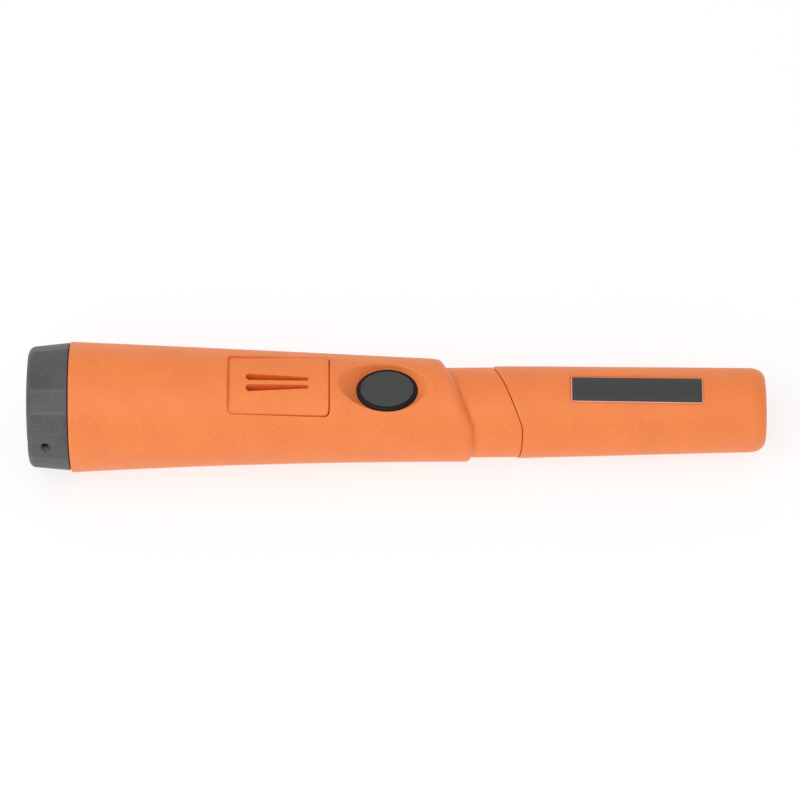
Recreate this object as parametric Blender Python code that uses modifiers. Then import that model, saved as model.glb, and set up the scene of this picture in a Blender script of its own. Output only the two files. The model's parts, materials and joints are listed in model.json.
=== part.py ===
"""Pinpointer probe: a handheld metal-detecting probe, lying on its underside.

Metres, +Z up. The probe runs along X, with its tip at +X and its button facing +Z. The origin is
under the middle of the probe, on the surface that it lies on. Every piece is placed from the
cap's end face: the empty "cap_end" stands there, so a location's X is a station along the probe.
"""
import math

import bmesh
import bpy
from mathutils import Matrix, Vector

NAME = "pinpointer_probe"

# Driving dimensions
LENGTH = 0.229            # cap end to tip
PROBE_HEIGHT = 0.0144     # axis of the neck and tip above the surface
GAP = 0.0003              # clearance between pieces that touch
SIDES = 36                # corners of a lofted section; the lowest side lies flat on the surface
BELLY = 1.3               # width of the lowest side against the others, so the probe lies still

# Section: a circle whose top third is a flatter crown
CREASE = 55.0             # degrees each side of the top
CROWN = 0.025             # how far the crown is drawn in, as a share of the radius
INNER_CROWN = 0.26        # the same inside the handle, under the panel and the button

# Handle
HANDLE_START = 0.0130
HANDLE_END = 0.128
REAR_RADIUS = 0.0203
FRONT_RADIUS = 0.0160
WAIST = 0.00034           # how far the sides are hollowed midway
ARCH = 0.0012             # how far the underside is lifted midway
WALL = 0.0024
BORE_RADIUS = 0.0180      # the mouth that takes the cap's spigot

# Neck, probe tube and wear cover
STEP_STATION = 0.1336     # middle of the slanted step from the handle to the neck
COVER_STATION = 0.1486    # middle of the cover's slanted rear edge
SLANT = 0.00435            # how far both cut lines run forward and back of their middles
LEAN_BEND = (42.0, 55.2)  # degrees from the top over which that lean levels off
NECK_RADIUS = 0.0140
NECK_BORE = 0.0116
TUBE_RADIUS = (0.0127, 0.0115)
TUBE_END = 0.2266
TUBE_WALL = 0.0015
COVER_RADIUS = (0.0143, 0.01315)
COVER_WALL = 0.0013
COVER_FRONT = 0.2225      # where the rounding of the tip starts
COVER_INSIDE = 0.2270

# Battery cap
CAP_RADIUS = (0.01895, 0.01995)
CAP_SIDES = 60
SCALLOPS = 5
SCALLOP_DEPTH = 0.0012
LAND_HALF_WIDTH = 12.0    # degrees
FIRST_LAND = 24.3         # degrees from the top towards the front
SPIGOT_RADIUS = 0.0172
SPIGOT_END = 0.0196
LANYARD_RADIUS = 0.00095
LANYARD_ANGLE = 71.5
LANYARD_STATION = 0.0056
LANYARD_REACH = 0.0162    # of the hole in the end, from the cap's centre

# Speaker panel
PANEL_CENTRE = 0.0776
PANEL_SIZE = (0.0317, 0.0208)
PANEL_CORNER = 0.0019
PANEL_ARC = 0.0223        # radius of the panel's face
PANEL_RISE = 0.01623      # the middle of its face above the handle's centre line
PANEL_SEAT = 0.0123       # floor of its recess above the same line
PANEL_TILT = math.radians(2.4)    # nose down
SLOT_ENDS = (0.0675, 0.0869)
SLOT_RADIUS = (0.00115, 0.00062)   # at the two ends
SLOT_GAP = 0.0015

# Button
BUTTON_STATION = 0.1110
BUTTON_BASE = (0.0094, 0.0073)
BUTTON_FACE = (0.0081, 0.0061)
BUTTON_FLOOR = 0.0290     # height of the scooped dish round the button
BUTTON_TOP = 0.0300
DISH_FLOOR = (0.0100, 0.0079)
DISH_SPREAD = (1.0, 0.38) # growth of the dish along and across, for each metre of height

# Label
LABEL_CENTRE = (0.1884, 0.0006)    # station and Y: it sits a little off the middle line
LABEL_SIZE = (0.0402, 0.0085)
LABEL_TURN = math.radians(-0.9)

# Insides
BATTERY = (0.0464, 0.0265, 0.0175)
BATTERY_START = 0.0202
BATTERY_HEIGHT = 0.0194
BOARD_TOP = 0.0176
BOARD_THICKNESS = 0.0012
BOARD_SPAN = (0.076, 0.146)
BOARD_WIDTH = 0.019
MOTOR_HEIGHT = 0.0074


# ---------------------------------------------------------------- colours and materials

def srgb(red, green, blue):
    """Linear colour from 0 to 255 screen values."""
    def linear(value):
        share = value / 255
        return share / 12.92 if share <= 0.04045 else ((share + 0.055) / 1.055) ** 2.4
    return (linear(red), linear(green), linear(blue), 1.0)


ORANGE = (srgb(252, 138, 82), 0.5, 0.0)
DEEP_ORANGE = (srgb(226, 90, 45), 0.6, 0.0)
GREY_PLASTIC = (srgb(97, 97, 97), 0.55, 0.0)
DARK_RUBBER = (srgb(62, 63, 64), 0.7, 0.0)
BLACK_RUBBER = (srgb(24, 24, 25), 0.75, 0.0)
LABEL_GREY = (srgb(80, 80, 80), 0.4, 0.0)
BLACK_PLASTIC = (srgb(30, 30, 32), 0.5, 0.0)
WHITE_PLASTIC = (srgb(222, 220, 212), 0.5, 0.0)
GREEN_BOARD = (srgb(24, 92, 52), 0.4, 0.0)
FOAM = (srgb(58, 58, 60), 0.95, 0.0)
STEEL = (srgb(190, 190, 192), 0.3, 1.0)
BRASS = (srgb(205, 170, 95), 0.3, 1.0)
COPPER = (srgb(190, 105, 62), 0.35, 1.0)
FERRITE = (srgb(52, 50, 50), 0.6, 0.0)
CLEAR = (srgb(235, 240, 245), 0.1, 0.0)
RED_WIRE = (srgb(190, 28, 24), 0.45, 0.0)
BLACK_WIRE = (srgb(22, 22, 22), 0.45, 0.0)
BLUE_WIRE = (srgb(30, 70, 165), 0.45, 0.0)
YELLOW_WIRE = (srgb(225, 185, 40), 0.45, 0.0)


def give_material(piece, finish):
    """Give a piece its own Principled material."""
    colour, roughness, metallic = finish
    material = bpy.data.materials.new(piece.name)
    material.use_nodes = True
    shader = material.node_tree.nodes["Principled BSDF"]
    shader.inputs["Base Color"].default_value = colour
    shader.inputs["Roughness"].default_value = roughness
    shader.inputs["Metallic"].default_value = metallic
    piece.data.materials.append(material)


# ---------------------------------------------------------------- modelling helpers

def new_collection(name):
    collection = bpy.data.collections.new(name)
    bpy.context.scene.collection.children.link(collection)
    return collection


def empty(name, parent, location):
    guide = bpy.data.objects.new(name, None)
    parts.objects.link(guide)
    guide.parent = parent
    guide.location = location
    return guide


def finish_mesh(name, shape, parent, location, finish, tilt=0.0):
    """Turn a bmesh into a smooth-shaded object under its parent, tilted nose down about Y."""
    bmesh.ops.recalc_face_normals(shape, faces=shape.faces)
    mesh = bpy.data.meshes.new(name)
    shape.to_mesh(mesh)
    shape.free()
    mesh.shade_smooth()
    mesh.set_sharp_from_angle(angle=math.radians(35))
    piece = bpy.data.objects.new(name, mesh)
    (parts if finish else cutters).objects.link(piece)
    piece.parent = parent
    piece.location = location
    piece.rotation_euler = (0.0, tilt, 0.0)
    if finish:
        give_material(piece, finish)
    else:
        piece.hide_render = True
        piece.display_type = 'WIRE'
    return piece


def loft(name, rings, parent, location, finish=None):
    """A closed solid through a run of sections, which all have the same number of corners."""
    shape = bmesh.new()
    loops = [[shape.verts.new(point) for point in ring] for ring in rings]
    for near, far in zip(loops, loops[1:]):
        for index, corner in enumerate(near):
            following = (index + 1) % len(near)
            shape.faces.new((corner, near[following], far[following], far[index]))
    shape.faces.new(loops[0])
    shape.faces.new(loops[-1])
    return finish_mesh(name, shape, parent, location, finish)


def plate(name, corners, low, high, parent, location, finish=None, tilt=0.0, segments=12):
    """A flat plate round corner circles, given as (x, y, radius), from one height to another."""
    shape = bmesh.new()
    for x, y, radius in corners:
        place = Matrix.Translation((x, y, (low + high) / 2))
        bmesh.ops.create_cone(shape, cap_ends=True, segments=segments, radius1=radius,
                              radius2=radius, depth=high - low, matrix=place)
    if len(corners) > 1:
        hull = bmesh.ops.convex_hull(shape, input=shape.verts)
        spare = set(hull["geom_interior"]) | set(hull["geom_unused"])
        bmesh.ops.delete(shape, geom=[item for item in spare if isinstance(item, bmesh.types.BMVert)],
                         context='VERTS')
        old = [face for face in hull["geom_holes"] if isinstance(face, bmesh.types.BMFace)]
        bmesh.ops.delete(shape, geom=old, context='FACES_ONLY')
        bmesh.ops.dissolve_limit(shape, angle_limit=math.radians(1), verts=shape.verts,
                                 edges=shape.edges)
    return finish_mesh(name, shape, parent, location, finish, tilt)


def rounded_corners(length, width, radius):
    """Corner circles of a rounded rectangle about the origin."""
    along = length / 2 - radius
    across = width / 2 - radius
    return [(sx * along, sy * across, radius) for sx in (-1, 1) for sy in (-1, 1)]


def block(name, size, parent, location, finish=None, bevel=0.0):
    shape = bmesh.new()
    bmesh.ops.create_cube(shape, size=1.0, matrix=Matrix.Diagonal((*size, 1.0)))
    piece = finish_mesh(name, shape, parent, location, finish)
    if bevel:
        edge = piece.modifiers.new("edges", 'BEVEL')
        edge.width = bevel
        edge.segments = 1
    return piece


def rod(name, radius, length, parent, location, finish=None, along='X', sides=24, bevel=0.0):
    """A cylinder centred on its location, along X, Y or Z."""
    turns = {'X': Matrix.Rotation(math.pi / 2, 4, 'Y'), 'Y': Matrix.Rotation(math.pi / 2, 4, 'X'),
             'Z': Matrix.Identity(4)}
    shape = bmesh.new()
    bmesh.ops.create_cone(shape, cap_ends=True, segments=sides, radius1=radius, radius2=radius,
                          depth=length, matrix=turns[along])
    piece = finish_mesh(name, shape, parent, location, finish)
    if bevel:
        edge = piece.modifiers.new("edges", 'BEVEL')
        edge.width = bevel
        edge.segments = 1
        edge.angle_limit = math.radians(60)
    return piece


def turned(name, profile, parent, location, finish, sides=24):
    """A ring turned about X from a closed profile of (radius, station) corners, whose outer side
    runs back from the tip."""
    shape = bmesh.new()
    corners = [shape.verts.new((radius, 0.0, station)) for radius, station in profile]
    for index, corner in enumerate(corners):
        shape.edges.new((corner, corners[(index + 1) % len(corners)]))
    piece = finish_mesh(name, shape, parent, location, finish, tilt=math.pi / 2)
    screw = piece.modifiers.new("turn", 'SCREW')
    screw.steps = sides
    screw.render_steps = sides
    screw.use_merge_vertices = True
    screw.merge_threshold = 0.00001
    return piece


def wire(name, points, radius, parent, finish):
    """An insulated lead that follows its points."""
    path = bpy.data.curves.new(name, 'CURVE')
    path.dimensions = '3D'
    path.bevel_depth = radius
    path.bevel_resolution = 2
    path.use_fill_caps = True
    spline = path.splines.new('POLY')
    spline.points.add(len(points) - 1)
    for knot, point in zip(spline.points, points):
        knot.co = (*point, 1.0)
    lead = bpy.data.objects.new(name, path)
    parts.objects.link(lead)
    lead.parent = parent
    give_material(lead, finish)


def combine(target, tool, operation='DIFFERENCE'):
    change = target.modifiers.new(tool.name, 'BOOLEAN')
    change.operation = operation
    change.solver = 'EXACT'
    change.object = tool


# ---------------------------------------------------------------- the probe's own shapes

def handle_share(station):
    return (station - HANDLE_START) / (HANDLE_END - HANDLE_START)


def handle_radius(station):
    share = handle_share(station)
    taper = REAR_RADIUS + (FRONT_RADIUS - REAR_RADIUS) * share
    return taper - 4 * WAIST * share * (1 - share)


def handle_height(station):
    """Height of the handle's centre line: its underside is a shallow arch on two flat ends."""
    share = handle_share(station)
    facet = math.cos(math.pi / SIDES)
    return handle_radius(station) * facet + 4 * ARCH * share * (1 - share)


def crowned(radius, angle, crown):
    """Radius of a section at an angle from the top, drawn in over the crown."""
    turn = abs((angle + 180) % 360 - 180)
    if turn >= CREASE:
        return radius
    return radius * (1 - crown * math.cos(math.pi / 2 * turn / CREASE))


def slant_shape(angle):
    """Forward lean of the two cut lines, from -1 to 1: they cross the top at a steep angle and
    come back round the underside in one smooth wave."""
    turn = (angle + 180) % 360 - 180
    start, end = LEAN_BEND
    if abs(turn) <= start:
        return 2 * turn / (start + end)
    if abs(turn) <= end:
        return math.copysign(1 - (end - abs(turn)) ** 2 / (end ** 2 - start ** 2), turn)
    return math.cos(math.pi * (angle % 360 - end) / (360 - 2 * end))


def section(station, radius, height, crown=CROWN, slant=0.0):
    points = []
    for index in range(SIDES):
        angle = 360 * (index + 0.5) / SIDES
        reach = crowned(radius, angle, crown)
        lean = slant * slant_shape(angle)
        across = -reach * math.sin(math.radians(angle))
        if index in (SIDES // 2 - 1, SIDES // 2):
            across *= BELLY
        points.append(Vector((station + lean, across,
                              height + reach * math.cos(math.radians(angle)))))
    return points


def handle_section(station, inset=0.0, crown=CROWN):
    return section(station, handle_radius(station) - inset, handle_height(station), crown)


def between(ends, share):
    return ends[0] + (ends[1] - ends[0]) * share


def tube_section(station, inset=0.0, crown=CROWN):
    radius = between(TUBE_RADIUS, (station - COVER_STATION) / (TUBE_END - COVER_STATION))
    return section(station, radius - inset, PROBE_HEIGHT, crown)


def cover_radius(station):
    return between(COVER_RADIUS, (station - 0.153) / (COVER_FRONT - 0.153))


# ---------------------------------------------------------------- shells

def make_main_housing(frame):
    """Handle, neck and inner probe tube: one moulding, closed at the tip and open at the cap."""
    inside = [
        tube_section(TUBE_END - 0.0016, inset=TUBE_WALL + 0.0005),
        tube_section(TUBE_END - 0.004, inset=TUBE_WALL),
        tube_section(0.158, inset=TUBE_WALL),
        section(0.137, NECK_BORE, PROBE_HEIGHT, 0.05),
        section(0.126, 0.0135, handle_height(0.126), INNER_CROWN),
    ]
    for station in (0.112, 0.096, 0.080, 0.063):
        inside.append(handle_section(station, WALL, INNER_CROWN))
    inside.append(handle_section(0.052, WALL, CROWN))
    inside.append(handle_section(0.036, WALL, 0.0))
    inside.append(section(0.021, BORE_RADIUS - 0.0001, handle_height(HANDLE_START), 0.0))
    inside.append(section(HANDLE_START, BORE_RADIUS, handle_height(HANDLE_START), 0.0))
    handle_front = handle_height(HANDLE_END)
    rise = FRONT_RADIUS - NECK_RADIUS
    outside = [section(HANDLE_START, REAR_RADIUS - 0.0003, handle_height(HANDLE_START))]
    for station in (0.0129, 0.030, 0.050, 0.070, 0.090, 0.108):
        outside.append(handle_section(station))
    outside += [
        section(STEP_STATION - 0.0040, FRONT_RADIUS, handle_front, CROWN, SLANT),
        section(STEP_STATION - 0.0014, FRONT_RADIUS - 0.25 * rise, handle_front, CROWN, SLANT),
        section(STEP_STATION, FRONT_RADIUS - 0.8 * rise, handle_front - 0.0005, CROWN, SLANT),
        section(STEP_STATION + 0.0004, NECK_RADIUS, PROBE_HEIGHT, CROWN, SLANT),
        section(COVER_STATION - 0.0005, NECK_RADIUS, PROBE_HEIGHT, CROWN, SLANT),
        section(COVER_STATION - 0.0003, TUBE_RADIUS[0], PROBE_HEIGHT, CROWN, SLANT),
        tube_section(0.160),
        tube_section(TUBE_END - 0.002),
        tube_section(TUBE_END, inset=0.0015),
    ]
    housing = loft("main_housing", inside + outside, frame, (0, 0, 0), ORANGE)
    combine(housing, panel_recess(frame))
    combine(housing, sound_opening(frame))
    combine(housing, button_dish(frame))
    combine(housing, button_well(frame))
    combine(housing, led_pocket(frame))


def panel_place():
    """Where the panel's frame stands, so that the tilted panel's face has its stated centre."""
    return (PANEL_CENTRE - PANEL_RISE * math.sin(PANEL_TILT), 0.0, handle_height(PANEL_CENTRE))


def panel_recess(frame):
    outline = rounded_corners(*PANEL_SIZE, PANEL_CORNER)
    return plate("panel_recess", outline, PANEL_SEAT, 0.022, frame, panel_place(),
                 tilt=PANEL_TILT)


def sound_opening(frame):
    outline = [(x + 0.0044, y, radius) for x, y, radius in rounded_corners(0.0156, 0.009, 0.001)]
    return plate("sound_opening", outline, 0.008, 0.014, frame, panel_place(), tilt=PANEL_TILT,
                 segments=8)


def slot_outline(side):
    """A tapered slot beside the panel's middle line, wide at the cap end."""
    wide, narrow = SLOT_RADIUS
    inner_edge = SLOT_GAP / 2
    rear = SLOT_ENDS[0] + wide - PANEL_CENTRE
    front = SLOT_ENDS[1] - narrow - PANEL_CENTRE
    return [(rear, side * (inner_edge + wide), wide), (front, side * (inner_edge + narrow), narrow)]


def make_speaker_panel(frame):
    groove = 0.00035
    outline = rounded_corners(PANEL_SIZE[0] - 2 * groove, PANEL_SIZE[1] - 2 * groove,
                              PANEL_CORNER - groove)
    panel = plate("speaker_panel", outline, PANEL_SEAT + GAP, 0.020, frame, panel_place(),
                  ORANGE, PANEL_TILT)
    face = rod("panel_face", PANEL_ARC, 0.05, panel, (0, 0, PANEL_RISE - PANEL_ARC), sides=96)
    combine(panel, face, 'INTERSECT')
    for name, side in (("slot_near", -1), ("slot_far", 1)):
        slot = plate(name, slot_outline(side), PANEL_SEAT - 0.001, 0.022, frame, panel_place(),
                     tilt=PANEL_TILT, segments=16)
        combine(panel, slot)


def ellipse(axes, height, sides=SIDES):
    """A level ring about the origin, with half-lengths along X and Y."""
    points = []
    for index in range(sides):
        turn = 2 * math.pi * index / sides
        points.append(Vector((axes[0] * math.cos(turn), axes[1] * math.sin(turn), height)))
    return points


def button_dish(frame):
    rise = 0.008
    mouth = (DISH_FLOOR[0] + DISH_SPREAD[0] * rise, DISH_FLOOR[1] + DISH_SPREAD[1] * rise)
    rings = [ellipse(DISH_FLOOR, BUTTON_FLOOR), ellipse(mouth, BUTTON_FLOOR + rise)]
    return loft("button_dish", rings, frame, (BUTTON_STATION, 0, 0))


def button_well(frame):
    clear = (BUTTON_BASE[0] + 0.0003, BUTTON_BASE[1] + 0.0003)
    rings = [ellipse(clear, 0.0235), ellipse(clear, 0.034)]
    return loft("button_well", rings, frame, (BUTTON_STATION, 0, 0))


def make_button(frame):
    """Rubber button with a skirt in the well and a stem that reaches down to the switch."""
    axis = empty("button_axis", frame, (BUTTON_STATION, 0, BUTTON_FLOOR))
    stem = (0.0025, 0.0025)
    skirt = (BUTTON_BASE[0] - 0.0001, BUTTON_BASE[1] - 0.0001)
    shoulder = (BUTTON_FACE[0] + 0.0004, BUTTON_FACE[1] + 0.0004)
    rings = [ellipse(stem, -0.0061), ellipse(stem, -0.0014), ellipse(skirt, -0.0014),
             ellipse(BUTTON_BASE, 0.0), ellipse(shoulder, 0.0008),
             ellipse(BUTTON_FACE, BUTTON_TOP - BUTTON_FLOOR)]
    loft("button_cap", rings, axis, (0, 0, 0), DARK_RUBBER)


def make_button_ring(frame):
    """Oval ring under the button that clamps its seal."""
    ring = loft("button_retaining_ring", [ellipse((0.0104, 0.0080), 0.0242),
                                          ellipse((0.0104, 0.0080), 0.0254)],
                frame, (BUTTON_STATION, 0, 0), BLACK_PLASTIC)
    hole = loft("ring_hole", [ellipse((0.0066, 0.0050), 0.0235), ellipse((0.0066, 0.0050), 0.026)],
                frame, (BUTTON_STATION, 0, 0))
    combine(ring, hole)


def led_place(station):
    angle = math.radians(-75)
    reach = 0.01475
    return (station, -reach * math.sin(angle), PROBE_HEIGHT + reach * math.cos(angle))


def led_pocket(frame):
    return rod("led_pocket", 0.00105, 0.0135, frame, led_place(0.1265), sides=16)


def make_led(frame):
    rod("led", 0.0008, 0.004, frame, led_place(0.1225), CLEAR, sides=12)
    rod("led_lens", 0.0008, 0.0026, frame, led_place(0.1262), CLEAR, sides=16, bevel=0.0002)


def make_wear_cover(frame):
    """Slip-on sleeve over the probe tube, with a sunk place for the label."""
    axis = empty("cover_axis", frame, (0, 0, PROBE_HEIGHT))
    height = 0.0

    def wall(station, inset):
        return section(station, cover_radius(station) - inset, height)

    inside = [wall(COVER_INSIDE, COVER_WALL + 0.0015), wall(COVER_INSIDE - 0.0015, COVER_WALL),
              wall(0.157, COVER_WALL)]
    rear_inside = section(COVER_STATION, COVER_RADIUS[0] - COVER_WALL, height, CROWN, SLANT)
    outside = [
        section(COVER_STATION, COVER_RADIUS[0] - 0.0004, height, CROWN, SLANT),
        section(COVER_STATION + 0.0005, COVER_RADIUS[0], height, CROWN, SLANT),
        wall(0.158, 0.0), wall(0.190, 0.0), wall(COVER_FRONT + 0.0015, 0.0),
    ]
    for share in (0.35, 0.65, 0.87, 1.0):
        turn = share * math.pi / 2
        outside.append(wall(COVER_FRONT + 0.0015 + 0.0045 * math.sin(turn),
                            0.003 * (1 - math.cos(turn))))
    outside.append(wall(LENGTH, 0.0055))
    cover = loft("wear_cover", inside + [rear_inside] + outside, axis, (0, 0, 0), ORANGE)
    recess = label_outline("label_recess", 0.00035, None, axis)
    combine(recess, cover_skin("recess_floor", 0.0006, axis))
    combine(cover, recess)
    return axis


def label_outline(name, margin, finish, axis):
    outline = rounded_corners(LABEL_SIZE[0] + 2 * margin, LABEL_SIZE[1] + 2 * margin,
                              0.0006 + margin)
    cosine, sine = math.cos(LABEL_TURN), math.sin(LABEL_TURN)
    turned = [(x * cosine - y * sine, x * sine + y * cosine, radius) for x, y, radius in outline]
    return plate(name, turned, 0.011, 0.016, axis, (*LABEL_CENTRE, 0), finish, segments=8)


def cover_skin(name, inset, axis):
    """The solid inside the cover's outer surface, drawn in by the inset."""
    low = 0.160
    return loft(name, [section(low, cover_radius(low) - inset, 0.0),
                       section(COVER_FRONT, cover_radius(COVER_FRONT) - inset, 0.0)],
                axis, (0, 0, 0))


def make_label(axis):
    """Thin blank label that follows the cover's crown."""
    label = label_outline("nameplate_label", 0.0, LABEL_GREY, axis)
    combine(label, cover_skin("label_top", 0.0, axis), 'INTERSECT')
    combine(label, cover_skin("label_back", 0.0003, axis))


# ---------------------------------------------------------------- battery cap

def cap_section(station, radius, depth=0.0):
    """A round section with a share of the grip scallops cut into it."""
    points = []
    pitch = 360 / SCALLOPS
    for index in range(CAP_SIDES):
        offset = 360 / CAP_SIDES * (index + 0.5)
        from_land = abs((offset + pitch / 2) % pitch - pitch / 2)
        reach = radius
        if from_land > LAND_HALF_WIDTH:
            share = (pitch / 2 - from_land) / (pitch / 2 - LAND_HALF_WIDTH)
            reach -= depth * (1 - share ** 2)
        turn = math.radians(FIRST_LAND + offset)
        points.append(Vector((station, -reach * math.sin(turn), reach * math.cos(turn))))
    return points


def make_battery_cap(axis):
    """Screw cap: a scalloped grip, a spigot with a seal groove, and a boss that holds the pad."""
    face = HANDLE_START - GAP
    rings = [
        cap_section(0.0093, 0.0103), cap_section(0.0026, 0.0105), cap_section(0.0026, 0.0148),
        cap_section(SPIGOT_END, 0.0152), cap_section(SPIGOT_END, SPIGOT_RADIUS - 0.0004),
        cap_section(SPIGOT_END - 0.0006, SPIGOT_RADIUS), cap_section(0.0150, SPIGOT_RADIUS),
        cap_section(0.0150, 0.0162), cap_section(0.0132, 0.0162),
        cap_section(0.0132, SPIGOT_RADIUS), cap_section(face, SPIGOT_RADIUS),
        cap_section(face, CAP_RADIUS[1] - 0.0002, SCALLOP_DEPTH * 0.9),
        cap_section(face - 0.0003, CAP_RADIUS[1], SCALLOP_DEPTH),
        cap_section(0.0024, CAP_RADIUS[0], SCALLOP_DEPTH),
        cap_section(0.0008, CAP_RADIUS[0] - 0.0007, SCALLOP_DEPTH * 0.95),
        cap_section(0.0001, CAP_RADIUS[0] - 0.0022, SCALLOP_DEPTH * 0.7),
        cap_section(0.0, 0.0155, SCALLOP_DEPTH * 0.4),
    ]
    cap = loft("battery_cap", rings, axis, (0, 0, 0), GREY_PLASTIC)
    turn = math.radians(LANYARD_ANGLE)
    outward = Vector((0, -math.sin(turn), math.cos(turn)))
    side_hole = rod("lanyard_side_hole", LANYARD_RADIUS, 0.005, axis, outward * 0.0182 +
                    Vector((LANYARD_STATION, 0, 0)), along='Z', sides=12)
    side_hole.rotation_euler = (turn, 0, 0)
    end_hole = rod("lanyard_end_hole", LANYARD_RADIUS, 0.008, axis, outward * LANYARD_REACH +
                   Vector((0.0025, 0, 0)), sides=12)
    combine(cap, side_hole)
    combine(cap, end_hole)


def make_cap_seal(axis):
    bpy.ops.mesh.primitive_torus_add(major_segments=40, minor_segments=8, major_radius=0.01705,
                                     minor_radius=0.0006)
    seal = bpy.context.object
    seal.name = "cap_o_ring"
    seal.users_collection[0].objects.unlink(seal)
    parts.objects.link(seal)
    seal.parent = axis
    seal.location = (0.0141, 0, 0)
    seal.rotation_euler = (0, math.pi / 2, 0)
    seal.data.shade_smooth()
    give_material(seal, BLACK_RUBBER)


# ---------------------------------------------------------------- battery and its contacts

def make_battery(frame):
    length, width, height = BATTERY
    radius = 0.0025
    across = width / 2 - radius
    up = height / 2 - radius
    corners = [(sz * up, sy * across, radius) for sz in (-1, 1) for sy in (-1, 1)]
    plate("battery_9v", corners, 0, length, frame, (BATTERY_START, 0, BATTERY_HEIGHT),
          BLACK_PLASTIC, tilt=math.pi / 2, segments=16)
    front = BATTERY_START + length + GAP
    side = 0.00635
    rod("battery_stud_terminal", 0.0029, 0.0021, frame, (front + 0.00105, side, BATTERY_HEIGHT),
        STEEL)
    rod("battery_snap_terminal", 0.0041, 0.0021, frame, (front + 0.00105, -side, BATTERY_HEIGHT),
        STEEL, sides=6)
    for name, place in (("contact_clip_positive", side), ("contact_clip_negative", -side)):
        block(name, (0.0010, 0.0070, 0.0070), frame, (0.0698, place, BATTERY_HEIGHT), BRASS,
              bevel=0.0002)
    board = (0.0706, 0.0718)
    loft("contact_board", [handle_section(board[0], WALL + 0.0006, INNER_CROWN),
                           handle_section(board[1], WALL + 0.0006, INNER_CROWN)],
         frame, (0, 0, 0), GREEN_BOARD)
    bulkhead = (0.0721, 0.0741)
    barrier = loft("battery_bulkhead", [handle_section(bulkhead[0], WALL + 0.0004, INNER_CROWN),
                                        handle_section(bulkhead[1], WALL + 0.0004, INNER_CROWN)],
                   frame, (0, 0, 0), WHITE_PLASTIC)
    for name, place in (("lead_hole_near", -0.005), ("lead_hole_far", 0.005)):
        combine(barrier, rod(name, 0.0010, 0.006, frame, (0.0731, place, 0.022), sides=12))


# ---------------------------------------------------------------- electronics

def make_speaker(frame):
    station = 0.0835
    plate("speaker_membrane", [(x + 0.0044, y, radius) for x, y, radius in
                               rounded_corners(0.0149, 0.0083, 0.0008)],
          0.0114, 0.0119, frame, panel_place(), DEEP_ORANGE, PANEL_TILT, segments=8)
    gasket = rod("speaker_gasket", 0.0080, 0.0010, frame, (station, 0, 0.0270), FOAM, 'Z', 28)
    combine(gasket, rod("gasket_hole", 0.0060, 0.003, frame, (station, 0, 0.0270), along='Z'))
    rod("speaker", 0.0080, 0.0040, frame, (station, 0, 0.0242), BLACK_PLASTIC, 'Z', 28, 0.0003)


def make_chassis(frame):
    """Tray under the circuit board, with four posts, and the board that is screwed to it."""
    start, end = BOARD_SPAN
    middle = (start + end) / 2
    tray = block("chassis_tray", (end - start + 0.002, 0.018, 0.0012), frame,
                 (middle, 0, 0.0130), BLACK_PLASTIC)
    board = block("main_pcb", (end - start, BOARD_WIDTH, BOARD_THICKNESS), frame,
                  (middle, 0, BOARD_TOP - BOARD_THICKNESS / 2), GREEN_BOARD)
    spots = [(start + 0.003, -0.0070), (start + 0.003, 0.0070),
             (end - 0.003, -0.0070), (end - 0.003, 0.0070)]
    for number, (station, side) in enumerate(spots, start=1):
        post = rod(f"post_{number}", 0.0018, 0.0027, frame, (station, side, 0.01475), along='Z',
                   sides=12)
        combine(tray, post, 'UNION')
        hole = rod(f"screw_hole_{number}", 0.0011, 0.008, frame, (station, side, 0.0160),
                   along='Z', sides=12)
        combine(tray, hole)
        combine(board, hole)
        loft(f"chassis_screw_{number}", [ellipse((0.0008, 0.0008), 0.0126, 12),
                                         ellipse((0.0008, 0.0008), BOARD_TOP + GAP, 12),
                                         ellipse((0.0016, 0.0016), BOARD_TOP + GAP, 12),
                                         ellipse((0.0013, 0.0013), BOARD_TOP + 0.0013, 12)],
             frame, (station, side, 0), STEEL)


def make_components(frame):
    """What stands on the circuit board."""
    def chip(name, station, side, size, finish, bevel=0.0002):
        height = BOARD_TOP + GAP + size[2] / 2
        block(name, size, frame, (station, side, height), finish, bevel)

    def can(name, station, side, radius, height, finish):
        rod(name, radius, height, frame, (station, side, BOARD_TOP + GAP + height / 2), finish,
            'Z', 20, 0.0003)

    chip("microcontroller", 0.0965, -0.001, (0.010, 0.010, 0.0014), BLACK_PLASTIC)
    chip("amplifier_chip", 0.1265, 0.003, (0.005, 0.004, 0.0015), BLACK_PLASTIC)
    chip("crystal_oscillator", 0.0857, 0.0055, (0.010, 0.004, 0.0034), STEEL, 0.0008)
    chip("tuning_capacitor", 0.1345, 0.0, (0.0072, 0.0045, 0.0060), RED_WIRE, 0.0004)
    chip("tact_switch", BUTTON_STATION, 0.0, (0.006, 0.006, 0.0034), BLACK_PLASTIC)
    can("main_capacitor", 0.1053, 0.0055, 0.0028, 0.0055, BLUE_WIRE)
    can("inductor", 0.1195, -0.0045, 0.0030, 0.0045, BLACK_PLASTIC)
    axis = empty("switch_axis", frame, (BUTTON_STATION, 0, 0.0216))
    rod("switch_plunger", 0.0016, 0.0010, axis, (0, 0, 0.0005), WHITE_PLASTIC, 'Z', 16)


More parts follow.
